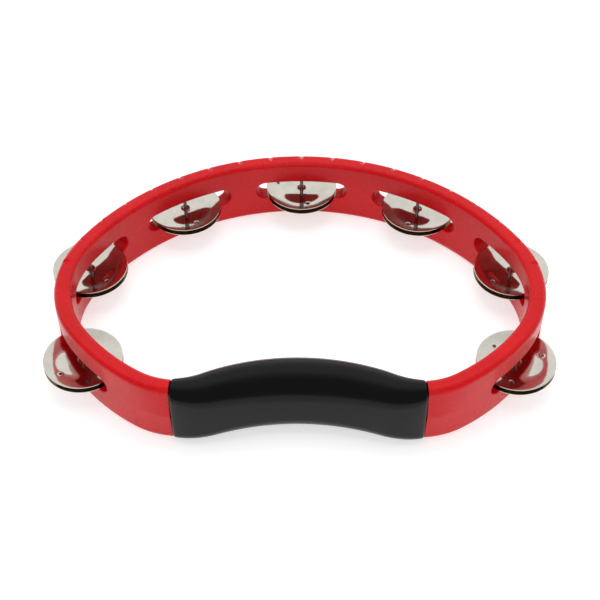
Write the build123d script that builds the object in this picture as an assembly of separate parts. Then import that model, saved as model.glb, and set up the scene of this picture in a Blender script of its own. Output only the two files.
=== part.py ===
from build123d import *
from math import atan2, cos, degrees, hypot, pi, radians, sin, sqrt, tan
import os

# A hand-held D-shaped tambourine with no skin. It stands on its lower rim, with Z up, the bowed
# handle towards -Y and the origin below the middle of its bounding box. Sizes in millimetres.

# Ring: a wall that follows tangent arcs. Radii and depths are measured to the wall's centreline.
back_y = 77.35           # back wall's centreline, from the origin
ring_depth = 155.0       # back wall to the middle of the handle
back_radius = 131.5
back_angle = 61.5        # half of the back arc's angle, in degrees
shoulder_radius = 58.5
shoulder_angle = 64.5
side_radius = 112.0
knee_radius = 40.0
handle_radius = 115.0    # curves the other way, into the ring
wall = 8.7
frame_height = 37.3
edge_round = 2.6

# Jingle slots, pins and jingles
pin_pitch = 69.7         # along the centreline
slot_length = 52.0
slot_height = 10.7
slot_edge_round = 0.8
pin_radius = 1.0
pin_clearance = 0.05
socket_depth = 4.0
pin_end_gap = 0.1
jingle_radius = 20.25
sheet = 0.5
dish_depth = 1.45
floor_radius = 12.9
bend_radius = 6.0
tip_radius = 0.2
jingle_hole_radius = 2.6
vent_radius = 0.9
vent_place = 14.2
vents = 3
rest_gap = 0.05

# Notches across the outer corner of the back and sides
notches_each_side = 9    # and one more at the middle of the back
notch_pitch = pin_pitch / 4
notch_reach = 5.0        # in from the outer face, along the top
notch_drop = 1.9         # down the outer face
notch_half_width = 3.2   # where the corner would be if it were sharp

# Handle: a thick core, and a soft grip sleeve over it
grip_half_length = 63.5  # along the centreline
grip_swell_length = 66.0
grip_end_thickness = 3.7
grip_thickness = 12.9    # half of the depth at the middle
grip_half_height = 17.7
grip_end_rise = 1.1
grip_roundness = 0.9     # corner radius over half thickness
sleeve_thickness = 2.0
knee_swell = 1.5         # how far the wall's middle stands out beside the grip
knee_edge_round = 3.4
knee_steps = 6           # spans between the knee's sections
handle_steps = 8         # spans from the handle's middle to each end
core_pocket_half_width = 5.5
core_pocket_half_length = 44.0
core_pocket_height = 11.0

# Locating pegs between the two frame halves
peg_radius = 1.6
peg_height = 5.0
peg_clearance = 0.1
peg_root = 1.0
last_peg_gap = 8.0       # from the front slots' ends, along the wall

# The seven pins: a name, places along the wall in pin pitches, and how far the jingles are turned
places = {
    "back_centre": (0, 45.0),
    "back_right": (1, 5.0),
    "side_right": (2, 100.0),
    "front_right": (3, 15.0),
    "back_left": (-1, 60.0),
    "side_left": (-2, 75.0),
    "front_left": (-3, 105.0),
}

half_wall = wall / 2
mid_z = frame_height / 2
slot_top = mid_z + slot_height / 2
slot_bottom = mid_z - slot_height / 2
rounding = 1e-9          # length that counts as none


def towards(heading):
    """Outward unit vector where the centreline runs at this heading, in degrees clockwise from +X."""
    return sin(radians(heading)), cos(radians(heading))


# Centreline arcs, clockwise from the middle of the back along the +X side
back_centre = (0.0, back_y - back_radius)
out = towards(back_angle)
shoulder_centre = (
    back_centre[0] + (back_radius - shoulder_radius) * out[0],
    back_centre[1] + (back_radius - shoulder_radius) * out[1],
)
side_heading = back_angle + shoulder_angle
out = towards(side_heading)
side_centre = (
    shoulder_centre[0] + (shoulder_radius - side_radius) * out[0],
    shoulder_centre[1] + (shoulder_radius - side_radius) * out[1],
)
handle_centre = (0.0, back_y - ring_depth - handle_radius)

# The knee arc is inside the side arc and outside the handle arc, so its centre is where two
# circles about their centres cross.
reach_side = side_radius - knee_radius
reach_handle = handle_radius + knee_radius
apart_x = handle_centre[0] - side_centre[0]
apart_y = handle_centre[1] - side_centre[1]
apart = hypot(apart_x, apart_y)
along_line = (reach_side**2 - reach_handle**2 + apart**2) / (2 * apart)
off_line = sqrt(reach_side**2 - along_line**2)
knee_centre = (
    side_centre[0] + (along_line * apart_x - off_line * apart_y) / apart,
    side_centre[1] + (along_line * apart_y + off_line * apart_x) / apart,
)
knee_heading = degrees(atan2(knee_centre[0] - side_centre[0], knee_centre[1] - side_centre[1]))
handle_heading = 360 + degrees(
    atan2(handle_centre[0] - knee_centre[0], handle_centre[1] - knee_centre[1])
)

# Each run: centre, radius, heading at its start, heading at its end. The handle turns back.
runs = [
    (back_centre, back_radius, 0.0, back_angle),
    (shoulder_centre, shoulder_radius, back_angle, side_heading),
    (side_centre, side_radius, side_heading, knee_heading),
    (knee_centre, knee_radius, knee_heading, handle_heading),
    (handle_centre, -handle_radius, handle_heading, 180.0),
]
run_lengths = [radius * radians(end - start) for centre, radius, start, end in runs]
knee_start = sum(run_lengths[:3])
half_length = sum(run_lengths)
grip_end = half_length - grip_half_length


def station(length):
    """Point and heading on the centreline, at a length from the middle of the back."""
    left = abs(length)
    for (centre, radius, start, end), run in zip(runs, run_lengths):
        if left <= run + rounding or radius < 0:
            break
        left -= run
    heading = start + degrees(left / radius)
    out_x, out_y = towards(heading)
    x = centre[0] + radius * out_x
    y = centre[1] + radius * out_y
    if length < 0:
        return -x, y, -heading
    return x, y, heading


def section_plane(length):
    """Plane across the wall: its X points out of the ring, and its Y points up."""
    x, y, heading = station(length)
    out_x, out_y = towards(heading)
    return Plane(origin=(x, y, 0), x_dir=(out_x, out_y, 0), z_dir=(out_y, -out_x, 0))


def wall_plane(length):
    """Plane along the wall: its X follows the wall, its Y points up, and it faces outwards."""
    x, y, heading = station(length)
    out_x, out_y = towards(heading)
    return Plane(origin=(x, y, 0), x_dir=(-out_y, out_x, 0), z_dir=(out_x, out_y, 0))


def offset_arc(run, offset):
    """One run's arc on the +X side, moved out of the ring by an offset."""
    centre, radius, start, end = run
    return CenterArc(centre, radius + offset, 90 - start, start - end)


def band(inner, outer, low, high):
    """C-shaped stretch of the ring, from one knee round the back to the other."""
    edges = []
    for offset in (inner, outer):
        for run in runs[:3]:
            arc = offset_arc(run, offset)
            edges.append(arc)
            edges.append(mirror(arc, about=Plane.YZ))
    end_inner = section_plane(knee_start).from_local_coords(Vector(inner, 0, 0))
    end_outer = section_plane(knee_start).from_local_coords(Vector(outer, 0, 0))
    end_line = Line(end_inner, end_outer)
    edges.append(end_line)
    edges.append(mirror(end_line, about=Plane.YZ))
    return Pos(0, 0, low) * extrude(make_face(edges), amount=high - low)


def half_section(length, swell, corner):
    """Upper half of the wall's section: sides that lean in from mid height to a rounded top."""
    lean = atan2(swell, mid_z)
    tangent = corner * tan(pi / 4 - lean / 2)
    bulge = (pi / 2 + lean) / 2
    top = frame_height
    points = {}
    for side in (-1, 1):
        points[side] = [
            (side * (half_wall + swell), mid_z),
            (side * (half_wall + tangent * sin(lean)), top - tangent * cos(lean)),
            (side * (half_wall - tangent + corner * cos(bulge)), top - corner + corner * sin(bulge)),
            (side * (half_wall - tangent), top),
        ]
    right = points[1]
    left = points[-1]
    outline = [
        Line(left[0], right[0]),
        Line(right[0], right[1]),
        ThreePointArc(right[1], right[2], right[3]),
        Line(right[3], left[3]),
        ThreePointArc(left[3], left[2], left[1]),
        Line(left[1], left[0]),
    ]
    return section_plane(length) * make_face(outline)


def knee():
    """Upper half of the wall between the ring and the grip on the +X side."""
    sections = []
    for step in range(knee_steps + 1):
        share = step / knee_steps
        length = knee_start + share * (grip_end - knee_start)
        growth = share * share * (3 - 2 * share)
        corner = edge_round + growth * (knee_edge_round - edge_round)
        sections.append(half_section(length, growth * knee_swell, corner))
    return loft(sections)


def grip_size(distance):
    """Half thickness and half height of the grip at a distance from the handle's middle."""
    swell = sqrt(1 - (distance / grip_swell_length) ** 2)
    thickness = grip_end_thickness + swell * (grip_thickness - grip_end_thickness)
    height = grip_half_height + (1 - swell) * grip_end_rise
    return thickness, height


def handle_body(inset):
    """The grip's outer form, or the core inside it, as one loft along the whole handle."""
    turns = [radians(90 * step / handle_steps) for step in range(handle_steps, -1, -1)]
    lengths = [half_length - grip_half_length * sin(turn) for turn in turns]
    lengths = lengths + [-length for length in reversed(lengths[:-1])]
    sections = []
    for length in lengths:
        thickness, height = grip_size(half_length - abs(length))
        corner = grip_roundness * thickness
        outline = RectangleRounded(2 * (thickness - inset), 2 * (height - inset), corner - inset)
        sections.append(section_plane(length) * Pos(0, mid_z) * outline)
    return loft(sections)


def slot_cutter(length):
    """Straight-sided slot with round ends, cut through the wall at one pin."""
    outline = Pos(0, mid_z) * SlotOverall(slot_length, slot_height)
    return extrude(wall_plane(length) * outline, amount=2 * wall, both=True)


def notch_cutter(length):
    """Wedge across the top outer corner, its point on a line that slopes down and outwards."""
    x, y, heading = station(length)
    out_x, out_y = towards(heading)
    middle = half_wall - notch_reach / 2
    wedge_plane = Plane(
        origin=(x + middle * out_x, y + middle * out_y, frame_height - notch_drop / 2),
        x_dir=(notch_drop * out_x, notch_drop * out_y, notch_reach),
        z_dir=(notch_reach * out_x, notch_reach * out_y, -notch_drop),
    )
    crease = hypot(notch_reach, notch_drop)
    corner_distance = notch_reach * notch_drop / crease
    height = 3 * corner_distance
    spread = 3 * notch_half_width
    outline = make_face(Polyline((0, 0), (height, spread), (height, -spread), (0, 0)))
    return extrude(wedge_plane * outline, amount=crease, both=True)


def upright(length, radius, low, high):
    """Vertical cylinder on the wall's centreline."""
    x, y, heading = station(length)
    return Pos(x, y, (low + high) / 2) * Cylinder(radius, high - low)


def peg_lengths():
    """Places of the locating pegs: between the slots, and beside each knee."""
    between = [pin_pitch * (step + 0.5) for step in range(3)]
    last = 3 * pin_pitch + slot_length / 2 + last_peg_gap
    right = between + [last]
    return right + [-length for length in right]


def core_pocket():
    """Upper half of the hollow inside the handle's core."""
    sweep = degrees(core_pocket_half_length / handle_radius)
    edges = []
    for side in (-1, 1):
        radius = handle_radius + side * core_pocket_half_width
        edges.append(CenterArc(handle_centre, radius, 90 - sweep, 2 * sweep))
    for end in (0, 1):
        edges.append(Line(edges[0] @ end, edges[1] @ end))
    return Pos(0, 0, mid_z) * extrude(make_face(edges), amount=core_pocket_height)


def is_slot_rim(edge, length):
    """Whether an edge is where this slot's upper half meets the wall's inner or outer face."""
    local = wall_plane(length).to_local_coords(edge.center())
    if edge.geom_type == GeomType.LINE or abs(local.X) > slot_length / 2:
        return False
    on_a_face = half_wall / 2 < abs(local.Z) < wall
    return on_a_face and mid_z + slot_edge_round < local.Y < slot_top + slot_edge_round


def frame_half():
    """Upper half of the frame before its holes for the pegs."""
    ring = band(-half_wall, half_wall, mid_z, frame_height)
    arcs = ring.edges().filter_by(GeomType.CIRCLE)
    rim = [edge for edge in arcs if edge.center().Z > frame_height - edge_round]
    ring = fillet(rim, edge_round)
    right_knee = knee()
    core = split(handle_body(sleeve_thickness), Plane.XY.offset(mid_z), keep=Keep.TOP)
    half = ring + right_knee + mirror(right_knee, about=Plane.YZ) + core
    pin_lengths = [place * pin_pitch for place, turn in places.values()]
    for length in pin_lengths:
        half -= slot_cutter(length)
    for length in pin_lengths:
        half = fillet([edge for edge in half.edges() if is_slot_rim(edge, length)], slot_edge_round)
    for length in pin_lengths:
        half -= upright(length, pin_radius + pin_clearance, slot_top, slot_top + socket_depth)
    for notch in range(-notches_each_side, notches_each_side + 1):
        half -= notch_cutter(notch * notch_pitch)
    return half - core_pocket()


def upper_frame_half(half):
    """The half over the jingles, with a hole for each peg."""
    for length in peg_lengths():
        half -= upright(length, peg_radius + peg_clearance, mid_z, mid_z + peg_height + peg_root)
    return half


def lower_frame_half(half):
    """The same half turned over, with the pegs standing on it."""
    lower = mirror(half, about=Plane.XY.offset(mid_z))
    for length in peg_lengths():
        lower += upright(length, peg_radius, mid_z - peg_root, mid_z + peg_height)
    return lower


def grip_sleeve():
    """Soft sleeve that wraps the handle's core from knee to knee."""
    return handle_body(0) - handle_body(sleeve_thickness)


def pin(length):
    """Straight steel pin, loose in a blind socket at each end."""
    low = slot_bottom - socket_depth + pin_end_gap
    high = slot_top + socket_depth - pin_end_gap
    return upright(length, pin_radius, low, high)


def jingle():
    """Pressed disc with a flat floor and a rising brim, its floor's underside at Z = 0."""
    lower_line = [(jingle_hole_radius, 0), (floor_radius, 0), (jingle_radius, dish_depth)]
    upper_line = [(radius, height + sheet) for radius, height in reversed(lower_line)]
    corners = lower_line + upper_line
    outline = make_face(Polyline(*corners, corners[0]))
    bends = [vertex for vertex in outline.vertices() if abs(vertex.X - floor_radius) < sheet]
    outline = fillet(bends, bend_radius)
    tips = [vertex for vertex in outline.vertices() if vertex.X > jingle_radius - sheet]
    outline = fillet(tips, tip_radius)
    disc = revolve(Plane.XZ * outline, axis=Axis.Z)
    for vent in range(vents):
        turned = Rot(0, 0, vent * 360 / vents)
        disc -= turned * Pos(vent_place, 0, dish_depth / 2) * Cylinder(vent_radius, 3 * dish_depth)
    return disc


def main():
    """Builds every piece in place and writes one STEP file for each."""
    half = frame_half()
    pieces = {
        "upper_frame_half": upper_frame_half(half),
        "lower_frame_half": lower_frame_half(half),
        "grip_sleeve": grip_sleeve(),
    }
    lower_underside = slot_bottom + rest_gap
    jingle_height = dish_depth + sheet
    upper_underside = lower_underside + jingle_height + rest_gap
    disc = jingle()
    turned_over = Pos(0, 0, jingle_height) * Rot(180, 0, 0) * disc
    for name, (place, turn) in places.items():
        length = place * pin_pitch
        x, y, heading = station(length)
        pieces[name + "_pin"] = pin(length)
        pieces[name + "_lower_jingle"] = Pos(x, y, lower_underside) * Rot(0, 0, -turn) * turned_over
        pieces[name + "_upper_jingle"] = Pos(x, y, upper_underside) * Rot(0, 0, turn) * disc
        print(name, round(x, 3), round(y, 3))
    os.makedirs("parts", exist_ok=True)
    for name, piece in pieces.items():
        piece.label = name
        export_step(piece, "parts/" + name + ".step")
    whole = Compound(children=list(pieces.values())).bounding_box()
    print("size", whole.size)
    print("centre", whole.center())
    print("jingle travel", slot_top - upper_underside - jingle_height)


main()
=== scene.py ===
import math

import bpy
from mathutils import Matrix, Vector, noise
from mathutils.geometry import delaunay_2d_cdt


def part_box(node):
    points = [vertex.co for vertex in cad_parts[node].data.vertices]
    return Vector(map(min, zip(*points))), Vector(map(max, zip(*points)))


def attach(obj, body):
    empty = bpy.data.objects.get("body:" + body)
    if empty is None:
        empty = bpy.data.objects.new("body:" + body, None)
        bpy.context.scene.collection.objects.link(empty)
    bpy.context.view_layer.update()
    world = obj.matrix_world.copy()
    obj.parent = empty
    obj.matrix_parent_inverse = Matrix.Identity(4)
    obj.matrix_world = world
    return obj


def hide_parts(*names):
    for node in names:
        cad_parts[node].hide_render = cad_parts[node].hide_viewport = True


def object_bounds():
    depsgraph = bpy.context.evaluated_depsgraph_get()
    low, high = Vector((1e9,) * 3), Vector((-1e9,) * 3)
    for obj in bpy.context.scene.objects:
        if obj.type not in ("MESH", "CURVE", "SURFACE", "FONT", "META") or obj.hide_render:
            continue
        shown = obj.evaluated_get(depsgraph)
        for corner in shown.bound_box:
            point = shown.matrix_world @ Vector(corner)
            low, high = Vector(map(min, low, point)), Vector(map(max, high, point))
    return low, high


# The looks of a hand-held tambourine: red moulded frame, black soft grip, steel jingles on pins.
# Lengths are in metres and angles in radians, unless a name says otherwise.
MM = 0.001

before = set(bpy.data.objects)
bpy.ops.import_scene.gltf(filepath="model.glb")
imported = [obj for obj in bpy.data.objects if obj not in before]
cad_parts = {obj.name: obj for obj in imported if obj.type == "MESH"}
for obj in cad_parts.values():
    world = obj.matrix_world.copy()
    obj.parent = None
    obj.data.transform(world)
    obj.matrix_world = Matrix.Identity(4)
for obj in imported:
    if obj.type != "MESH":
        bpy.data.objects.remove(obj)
cad_low, cad_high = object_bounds()
scene = bpy.context.scene
frame_height = (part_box("upper_frame_half")[1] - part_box("lower_frame_half")[0]).z


def add_object(name, data):
    """New object in the scene, at the origin."""
    thing = bpy.data.objects.new(name, data)
    scene.collection.objects.link(thing)
    return thing


# ---------------------------------------------------------------- camera, floor and light

camera_aim = Vector((0, -15.7 * MM, frame_height / 2))
camera_distance = 654.4 * MM
camera_elevation = math.radians(46.53)
camera_azimuth = math.radians(0.8)
camera_roll = math.radians(-0.32)
camera_lens_mm = 74.1
camera_sensor_mm = 36

floor_half = 60.0
floor_grey = 0.6
floor_glow = 0.55
floor_roughness = 0.9
floor_specular = 0.1

# The white dome's strength, from its front to its back, and where between them it fades
dome_front = 0.30
dome_back = 0.95
dome_fade_start = -0.10
dome_fade_end = 0.60

# Soft boxes: place, size and power in watts
soft_boxes = {
    "top_box": ((0, 0.2, 1.7), 1.2, 12),
    "front_box": ((0, -1.2, 1.2), 0.9, 7),
    "left_box": ((-1.5, -0.2, 1.2), 0.8, 3),
    "right_box": ((1.5, -0.2, 1.2), 0.8, 3),
}


def add_camera():
    """Camera above the handle, looking down into the ring."""
    data = bpy.data.cameras.new("camera")
    data.lens = camera_lens_mm
    data.sensor_width = camera_sensor_mm
    data.clip_start = 10 * MM
    camera = add_object("camera", data)
    tilt = Matrix.Rotation(math.pi / 2 - camera_elevation, 4, "X")
    turn = Matrix.Rotation(camera_azimuth, 4, "Z") @ tilt
    place = camera_aim + turn.to_3x3() @ Vector((0, 0, camera_distance))
    camera.matrix_world = Matrix.Translation(place) @ turn @ Matrix.Rotation(camera_roll, 4, "Z")
    scene.camera = camera


def add_floor():
    """Plain pale floor that the tambourine lies on."""
    corners = [
        (-floor_half, -floor_half, 0),
        (floor_half, -floor_half, 0),
        (floor_half, floor_half, 0),
        (-floor_half, floor_half, 0),
    ]
    mesh = bpy.data.meshes.new("floor")
    mesh.from_pydata(corners, [], [(0, 1, 2, 3)])
    floor = add_object("floor", mesh)
    floor.location.z = cad_low[2]
    material = bpy.data.materials.new("floor")
    material.use_nodes = True
    shader = material.node_tree.nodes["Principled BSDF"]
    shader.inputs["Base Color"].default_value = (floor_grey, floor_grey, floor_grey, 1)
    shader.inputs["Emission Color"].default_value = (1, 1, 1, 1)
    shader.inputs["Emission Strength"].default_value = floor_glow
    shader.inputs["Roughness"].default_value = floor_roughness
    shader.inputs["Specular IOR Level"].default_value = floor_specular
    mesh.materials.append(material)


def add_dome():
    """White studio all round, which fades towards the front."""
    world = bpy.data.worlds.new("studio")
    scene.world = world
    world.use_nodes = True
    nodes = world.node_tree.nodes
    links = world.node_tree.links
    background = nodes["Background"]
    place = nodes.new("ShaderNodeTexCoord")
    split = nodes.new("ShaderNodeSeparateXYZ")
    fade = nodes.new("ShaderNodeMapRange")
    fade.interpolation_type = "SMOOTHSTEP"
    fade.inputs["From Min"].default_value = dome_fade_start
    fade.inputs["From Max"].default_value = dome_fade_end
    fade.inputs["To Min"].default_value = dome_front
    fade.inputs["To Max"].default_value = dome_back
    links.new(place.outputs["Generated"], split.inputs["Vector"])
    links.new(split.outputs["Y"], fade.inputs["Value"])
    links.new(fade.outputs["Result"], background.inputs["Strength"])
    background.inputs["Color"].default_value = (1, 1, 1, 1)


def add_soft_box(name, place, size, power):
    """Square soft light that points at the ring, kept out of mirror reflections."""
    data = bpy.data.lights.new(name, "AREA")
    data.shape = "SQUARE"
    data.size = size
    data.energy = power
    light = add_object(name, data)
    light.location = place
    light.rotation_euler = (-Vector(place)).to_track_quat("-Z", "Y").to_euler()
    light.visible_glossy = False


# ---------------------------------------------------------------- materials

class Nodes:
    """Adds and joins shader nodes in one material."""

    def __init__(self, name):
        self.material = bpy.data.materials.new(name)
        self.material.use_nodes = True
        self.tree = self.material.node_tree
        self.shader = self.tree.nodes["Principled BSDF"]

    def new(self, kind):
        return self.tree.nodes.new("ShaderNode" + kind)

    def feed(self, socket, value):
        """Links a socket to a node's output, or sets it to a number or a colour."""
        if isinstance(value, bpy.types.NodeSocket):
            self.tree.links.new(value, socket)
        elif isinstance(value, tuple):
            socket.default_value = (*value, 1)
        else:
            socket.default_value = value

    def surface(self, colour, roughness, normal):
        self.feed(self.shader.inputs["Base Color"], colour)
        self.feed(self.shader.inputs["Roughness"], roughness)
        self.feed(self.shader.inputs["Normal"], normal)

    def coordinates(self, kind="Object"):
        return self.new("TexCoord").outputs[kind]

    def split(self, vector):
        node = self.new("SeparateXYZ")
        self.feed(node.inputs["Vector"], vector)
        return node.outputs

    def noise(self, vector, scale, detail=3.0, roughness=0.5):
        node = self.new("TexNoise")
        node.inputs["Scale"].default_value = scale
        node.inputs["Detail"].default_value = detail
        node.inputs["Roughness"].default_value = roughness
        self.feed(node.inputs["Vector"], vector)
        return node.outputs["Fac"]

    def noise_along(self, distance, scale, detail):
        node = self.new("TexNoise")
        node.noise_dimensions = "1D"
        node.inputs["Scale"].default_value = scale
        node.inputs["Detail"].default_value = detail
        self.feed(node.inputs["W"], distance)
        return node.outputs["Fac"]

    def stretched(self, vector, scales):
        node = self.new("Mapping")
        node.inputs["Scale"].default_value = scales
        self.feed(node.inputs["Vector"], vector)
        return node.outputs["Vector"]

    def remap(self, value, source, target):
        """A value from one range, given as its two ends, to another."""
        node = self.new("MapRange")
        self.feed(node.inputs["Value"], value)
        node.inputs["From Min"].default_value = source[0]
        node.inputs["From Max"].default_value = source[1]
        node.inputs["To Min"].default_value = target[0]
        node.inputs["To Max"].default_value = target[1]
        return node.outputs["Result"]

    def math(self, operation, first, second):
        node = self.new("Math")
        node.operation = operation
        self.feed(node.inputs[0], first)
        self.feed(node.inputs[1], second)
        return node.outputs["Value"]

    def blend(self, share, first, second):
        """One colour where the share is 0 and another where it is 1."""
        node = self.new("Mix")
        node.data_type = "RGBA"
        self.feed(node.inputs["Factor"], share)
        self.feed(node.inputs["A"], first)
        self.feed(node.inputs["B"], second)
        return node.outputs["Result"]

    def bump(self, height, strength, depth, under=None):
        """Fine relief of the given depth, on top of the relief under it if there is one."""
        node = self.new("Bump")
        node.inputs["Strength"].default_value = strength
        node.inputs["Distance"].default_value = depth
        self.feed(node.inputs["Height"], height)
        if under is not None:
            self.feed(node.inputs["Normal"], under)
        return node.outputs["Normal"]


def frame_plastic():
    """Red moulded plastic: faint orange peel, soft gloss, fine scuffs and a slight change of colour."""
    deep_red = (0.55, 0.002, 0.005)
    light_red = (0.62, 0.003, 0.007)
    n = Nodes("frame_plastic")
    place = n.coordinates()
    patches = n.remap(n.noise(place, scale=28, detail=2), (0.35, 0.65), (0, 1))
    scuffs = n.noise(place, scale=150, detail=4, roughness=0.6)
    speckle = n.noise(place, scale=900, detail=2)
    worn = n.remap(scuffs, (0.45, 0.75), (0.22, 0.32))
    gloss = n.math("ADD", worn, n.remap(speckle, (0.4, 0.6), (0, 0.02)))
    peel = n.bump(n.noise(place, scale=300, detail=2), strength=0.25, depth=0.05 * MM)
    pores = n.noise(place, scale=2600, detail=2)
    relief = n.bump(pores, strength=0.15, depth=0.008 * MM, under=peel)
    n.surface(n.blend(patches, deep_red, light_red), gloss, relief)
    n.shader.inputs["IOR"].default_value = 1.5
    n.shader.inputs["Specular IOR Level"].default_value = 0.25
    return n.material


def grip_rubber():
    """Black soft-touch rubber: fine grain, with palm-polished patches."""
    black = (0.0012, 0.0012, 0.0014)
    soot = (0.0024, 0.0024, 0.0026)
    n = Nodes("grip_rubber")
    place = n.coordinates()
    patches = n.noise(place, scale=45, detail=3)
    polish = n.remap(patches, (0.3, 0.7), (0.20, 0.30))
    grain = n.bump(n.noise(place, scale=3400, detail=2), strength=0.3, depth=0.025 * MM)
    ripple = n.noise(place, scale=700, detail=3)
    relief = n.bump(ripple, strength=0.25, depth=0.03 * MM, under=grain)
    n.surface(n.blend(patches, black, soot), polish, relief)
    n.shader.inputs["IOR"].default_value = 1.5
    n.shader.inputs["Specular IOR Level"].default_value = 0.2
    return n.material


def jingle_steel():
    """Plated steel, turned in fine rings and scratched, bright in the dish; the convex side, which faces
    the other jingle of its pair, is painted darker and browner as painted shade, with random stains on
    both sides.
    """
    clean = (0.72, 0.69, 0.62)
    stained = (0.62, 0.59, 0.53)
    # Darker, browner steel for the convex side: painted shade, plain and stained
    shaded_steel = (0.38, 0.32, 0.23)
    shaded_stained_steel = (0.28, 0.24, 0.17)
    n = Nodes("jingle_steel")
    place = n.coordinates()
    axes = n.split(place)
    square_x = n.math("MULTIPLY", axes["X"], axes["X"])
    square_y = n.math("MULTIPLY", axes["Y"], axes["Y"])
    radius = n.math("SQRT", n.math("ADD", square_x, square_y), 0)
    turned = n.noise_along(radius, scale=4200, detail=3)
    stains = n.remap(n.noise(place, scale=120, detail=4, roughness=0.6), (0.35, 0.7), (0, 1))
    dish_side = n.blend(stains, clean, stained)
    # Painted shade: the convex side, which faces the other jingle across the gap, gets the darker steel,
    # with random stains on it
    painted_shade_side = n.blend(stains, shaded_steel, shaded_stained_steel)
    facing_up = n.split(n.coordinates("Normal"))["Z"]
    # Share of the painted shade: 1 where the surface faces object -Z (the convex side), 0 in the dish
    outside = n.remap(facing_up, (-0.6, 0.1), (1, 0))
    scratches = n.noise(n.stretched(place, (2600, 300, 300)), scale=1.0, detail=3, roughness=0.6)
    polish = n.remap(turned, (0.3, 0.7), (0.05, 0.09))
    gloss = n.math("ADD", polish, n.remap(scratches, (0.55, 0.75), (0, 0.08)))
    rings = n.bump(turned, strength=0.20, depth=0.006 * MM)
    relief = n.bump(n.noise(place, scale=160, detail=2), strength=0.5, depth=0.05 * MM, under=rings)
    n.surface(n.blend(outside, dish_side, painted_shade_side), gloss, relief)
    n.shader.inputs["Metallic"].default_value = 1.0
    return n.material


def pin_steel():
    """Drawn steel wire with fine lines along it."""
    dark_steel = (0.42, 0.41, 0.40)
    light_steel = (0.62, 0.61, 0.59)
    n = Nodes("pin_steel")
    drawn = n.noise(n.stretched(n.coordinates(), (4000, 4000, 60)), scale=1.0, detail=3)
    gloss = n.remap(drawn, (0.3, 0.7), (0.22, 0.38))
    relief = n.bump(drawn, strength=0.3, depth=0.01 * MM)
    n.surface(n.blend(drawn, dark_steel, light_steel), gloss, relief)
    n.shader.inputs["Metallic"].default_value = 1.0
    return n.material


def paint(node, material):
    """Gives a CAD node a material on all of its slots."""
    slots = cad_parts[node].material_slots
    if not slots:
        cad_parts[node].data.materials.append(material)
    for slot in slots:
        slot.material = material


# ---------------------------------------------------------------- jingles

jingle_radius = 20.25 * MM
jingle_height = 1.95 * MM
sheet = 0.5 * MM
floor_radius = 12.9 * MM
bend_width = 4.0 * MM          # of the round bend between the flat floor and the brim
hole_radius = 2.6 * MM
hole_lip_height = 0.10 * MM
hole_lip_width = 0.5 * MM
vents = 3
vent_radius = 0.9 * MM
vent_place = 14.2 * MM
vent_lip_height = 0.12 * MM
vent_lip_width = 0.35 * MM
wave_height = 0.012 * MM       # of the pressed sheet's unevenness
waves_per_metre = 260
rim_width = 0.85 * MM          # of the brim's outermost band, which turns down
rim_drop = 0.05 * MM
rim_inset = 0.02 * MM
edge_round = 0.14 * MM
edge_round_segments = 3
edge_round_from = math.radians(50)

# Fineness of the disc's mesh
hole_points = 40
rim_points = 160
vent_points = 20
vent_rings = 3                 # close rings of points round each vent
vent_ring_step = 0.3 * MM
vent_points_added = 4          # in each ring further out
vent_clearance = 1.1 * MM      # between a vent and the nearest points of the disc's own rings
disc_rings = 40
inner_ring_points = 48
added_ring_points = 112
hole_slack = 1.002             # the hole's polygon lies just inside its circle
merge_distance = 1e-9
whole_hull = 0                 # triangulates everything inside the outline's hull

# How far each pair of jingles is turned, in degrees
turns = {
    "back_centre": 45.0,
    "back_right": 5.0,
    "side_right": 100.0,
    "front_right": 15.0,
    "back_left": 60.0,
    "side_left": 75.0,
    "front_left": 105.0,
}


def ring_points(centre, radius, count):
    """Points round a circle."""
    points = []
    for step in range(count):
        angle = 2 * math.pi * step / count
        points.append(Vector((centre[0] + radius * math.cos(angle), centre[1] + radius * math.sin(angle))))
    return points


vent_centres = ring_points((0, 0), vent_place, vents)


def smooth_ramp(value, width):
    """Zero below 0 and value above it, with a round bend of the given width between."""
    if value <= -width / 2:
        return 0.0
    if value >= width / 2:
        return value
    return (value + width / 2) ** 2 / (2 * width)


def lip(distance, height, width):
    """Height of the small ridge beside a punched edge, at a distance from that edge."""
    return height * math.exp(-((distance / width) ** 2))


def jingle_middle(x, y):
    """Height of the sheet's middle above the floor's underside, at one point of the disc."""
    radius = math.hypot(x, y)
    slope = (jingle_height - sheet) / (jingle_radius - floor_radius)
    height = sheet / 2 + slope * smooth_ramp(radius - floor_radius, bend_width)
    height += lip(radius - hole_radius, hole_lip_height, hole_lip_width)
    for centre in vent_centres:
        from_vent = math.hypot(x - centre.x, y - centre.y)
        height += lip(from_vent - vent_radius, vent_lip_height, vent_lip_width)
    height += wave_height * noise.noise(Vector((x, y, 0)) * waves_per_metre)
    into_rim = max(0.0, (radius - (jingle_radius - rim_width)) / rim_width)
    return height - rim_drop * into_rim**2


def nearest_vent(point):
    """Distance from a point to the nearest vent's centre."""
    return min((point - centre).length for centre in vent_centres)


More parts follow.
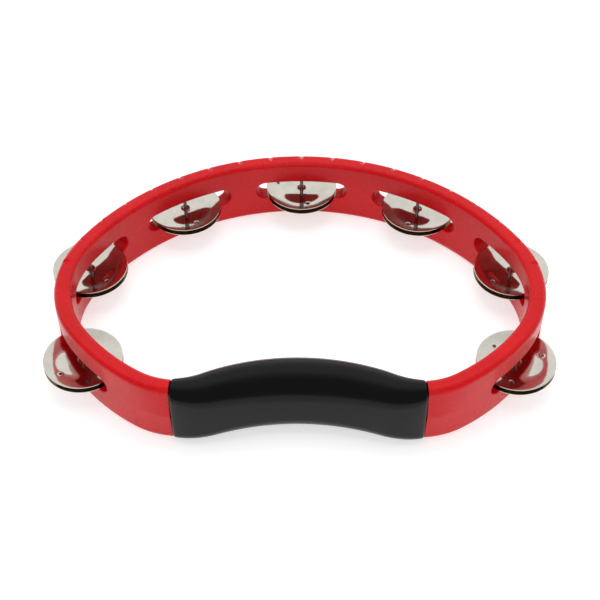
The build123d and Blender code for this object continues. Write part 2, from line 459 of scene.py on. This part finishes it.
def jingle_mesh():
    """One pressed disc as a sheet of triangles with its hole and vents, to be thickened."""
    circles = [((0, 0), hole_radius, hole_points), ((0, 0), jingle_radius - rim_inset, rim_points)]
    circles += [(centre, vent_radius, vent_points) for centre in vent_centres]
    points = []
    edges = []
    for centre, radius, count in circles:
        start = len(points)
        points += ring_points(centre, radius, count)
        edges += [(start + i, start + (i + 1) % count) for i in range(count)]
    for centre in vent_centres:
        for step in range(1, vent_rings + 1):
            count = vent_points + vent_points_added * step
            points += ring_points(centre, vent_radius + vent_ring_step * step, count)
    for ring in range(1, disc_rings):
        radius = hole_radius + (jingle_radius - hole_radius) * ring / disc_rings
        count = int(inner_ring_points + added_ring_points * radius / jingle_radius)
        for point in ring_points((0, 0), radius, count):
            if nearest_vent(point) > vent_radius + vent_clearance:
                points.append(point)
    found = delaunay_2d_cdt(points, edges, [], whole_hull, merge_distance)
    flat = found[0]
    kept = []
    for face in found[2]:
        middle = sum((flat[i] for i in face), Vector((0, 0))) / len(face)
        if middle.length * hole_slack > hole_radius and nearest_vent(middle) >= vent_radius:
            kept.append(tuple(face))
    mesh = bpy.data.meshes.new("jingle")
    mesh.from_pydata([(p.x, p.y, jingle_middle(p.x, p.y)) for p in flat], [], kept)
    mesh.validate()
    mesh.shade_smooth()
    return mesh


def add_jingle(mesh, material, name, level):
    """One jingle in place of its CAD node: the lower one is the upper one turned over."""
    node = name + "_" + level + "_jingle"
    low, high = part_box(node)
    disc = add_object(node + "_disc", mesh.copy())
    disc.data.materials.append(material)
    thick = disc.modifiers.new("sheet", "SOLIDIFY")
    thick.thickness = sheet
    thick.offset = 0
    edge = disc.modifiers.new("edge", "BEVEL")
    edge.width = edge_round
    edge.segments = edge_round_segments
    edge.limit_method = "ANGLE"
    edge.angle_limit = edge_round_from
    disc.data.transform(Matrix.Rotation(math.radians(turns[name]), 4, "Z"))
    middle = (low + high) / 2
    if level == "upper":
        disc.matrix_world = Matrix.Translation((middle.x, middle.y, low.z))
    else:
        over = Matrix.Rotation(math.pi, 4, "X")
        disc.matrix_world = Matrix.Translation((middle.x, middle.y, high.z)) @ over
    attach(disc, node)
    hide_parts(node)


# ---------------------------------------------------------------- grip

# The ring's centreline is tangent arcs: back, shoulder, side and knee, then the handle the other way
back_y = 77.35 * MM
ring_depth = 155.0 * MM
back_radius = 131.5 * MM
back_angle = math.radians(61.5)
shoulder_radius = 58.5 * MM
shoulder_angle = math.radians(64.5)
side_radius = 112.0 * MM
knee_radius = 40.0 * MM
handle_radius = 115.0 * MM

grip_half_length = 63.5 * MM
grip_swell_length = 66.0 * MM
grip_end_thickness = 3.7 * MM
grip_thickness = 12.9 * MM     # half of the depth at the middle
grip_half_height = 17.7 * MM
grip_end_rise = 1.1 * MM
grip_roundness = 0.9           # corner radius over half thickness
least_corner = 0.4 * MM
grip_lip = 1.7 * MM
sleeve_thickness = 1.9 * MM    # a little less than in CAD, so it stays clear of the core

# Fineness of the grip's mesh
grip_round_points = 96
grip_steps = 120
grip_lip_steps = 6
grip_inner_steps = 60


def handle_arc_length():
    """Length of the handle's arc, from its middle to where the knee's arc takes over."""
    shoulder_step = back_radius - shoulder_radius
    side_step = shoulder_radius - side_radius
    side_heading = back_angle + shoulder_angle
    side_x = shoulder_step * math.sin(back_angle) + side_step * math.sin(side_heading)
    side_y = back_y - back_radius
    side_y += shoulder_step * math.cos(back_angle) + side_step * math.cos(side_heading)
    handle_y = back_y - ring_depth - handle_radius
    apart = math.hypot(side_x, side_y - handle_y)
    to_side = side_radius - knee_radius
    to_handle = handle_radius + knee_radius
    corner = math.acos((apart**2 + to_handle**2 - to_side**2) / (2 * apart * to_handle))
    return handle_radius * (math.atan2(side_x, side_y - handle_y) + corner)


handle_run = handle_arc_length()


def handle_point(distance):
    """Point on the handle's centreline and its outward direction, at a length from the middle."""
    side = 1 if distance >= 0 else -1
    length = abs(distance)
    bend = min(length, handle_run) / handle_radius
    x = handle_radius * math.sin(bend)
    y = back_y - ring_depth - handle_radius * (1 - math.cos(bend))
    if length > handle_run:
        knee_x = x + knee_radius * math.sin(bend)
        knee_y = y + knee_radius * math.cos(bend)
        bend -= (length - handle_run) / knee_radius
        x = knee_x - knee_radius * math.sin(bend)
        y = knee_y - knee_radius * math.cos(bend)
    return Vector((side * x, y, 0)), Vector((-side * math.sin(bend), -math.cos(bend), 0))


def grip_ring(distance, inset):
    """Closed ring of points round the grip at a length from its middle, pulled in by an inset."""
    reach = min(abs(distance), grip_half_length)
    swell = math.sqrt(1 - (reach / grip_swell_length) ** 2)
    thickness = grip_end_thickness + swell * (grip_thickness - grip_end_thickness)
    height = grip_half_height + (1 - swell) * grip_end_rise
    corner = max(least_corner, grip_roundness * thickness - inset)
    flat_x = max(0.0, thickness - inset - corner)
    flat_z = height - inset - corner
    middle, outward = handle_point(distance)
    quarter_points = grip_round_points // 4
    ring = []
    for quarter in range(4):
        sign_x = 1 if quarter in (0, 3) else -1
        sign_z = 1 if quarter in (0, 1) else -1
        for step in range(quarter_points):
            angle = math.pi / 2 * (quarter + (step + 0.5) / quarter_points)
            across = sign_x * flat_x + corner * math.cos(angle)
            up = sign_z * flat_z + corner * math.sin(angle)
            ring.append(middle + outward * across + Vector((0, 0, frame_height / 2 + up)))
    return ring


def grip_stations():
    """Each ring's length from the grip's middle and its inset: outside, then back along the inside."""
    body_half = grip_half_length - grip_lip
    lips = []
    for step in range(grip_lip_steps):
        angle = math.pi / 2 * step / grip_lip_steps
        lips.append((body_half + grip_lip * math.cos(angle), grip_lip * (1 - math.sin(angle))))
    stations = [(-distance, inset) for distance, inset in lips]
    for step in range(grip_steps + 1):
        stations.append((body_half * (2 * step / grip_steps - 1), 0))
    stations += reversed(lips)
    for step in range(grip_inner_steps + 1):
        stations.append((grip_half_length * (1 - 2 * step / grip_inner_steps), sleeve_thickness))
    return stations


def grip_mesh():
    """Sleeve as one closed tube: outside, round lips at both ends, and the inside."""
    stations = grip_stations()
    points = []
    for distance, inset in stations:
        points += grip_ring(distance, inset)
    count = grip_round_points
    faces = []
    for ring in range(len(stations)):
        after = (ring + 1) % len(stations)
        for i in range(count):
            j = (i + 1) % count
            faces.append((ring * count + i, ring * count + j, after * count + j, after * count + i))
    mesh = bpy.data.meshes.new("grip")
    mesh.from_pydata(points, [], faces)
    mesh.validate()
    mesh.shade_smooth()
    return mesh


def add_grip(material):
    """The soft sleeve, in place of its plain CAD solid."""
    grip = add_object("grip", grip_mesh())
    grip.data.materials.append(material)
    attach(grip, "frame")
    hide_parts("grip_sleeve")


# ---------------------------------------------------------------- whole tambourine

def main():
    """Camera, floor and light first, then each group of pieces."""
    scene.view_settings.view_transform = "Standard"
    add_camera()
    add_floor()
    add_dome()
    for name, (place, size, power) in soft_boxes.items():
        add_soft_box(name, place, size, power)
    red = frame_plastic()
    for node in ("upper_frame_half", "lower_frame_half"):
        paint(node, red)
    add_grip(grip_rubber())
    steel = jingle_steel()
    wire = pin_steel()
    mesh = jingle_mesh()
    for name in turns:
        paint(name + "_pin", wire)
        add_jingle(mesh, steel, name, "upper")
        add_jingle(mesh, steel, name, "lower")


main()
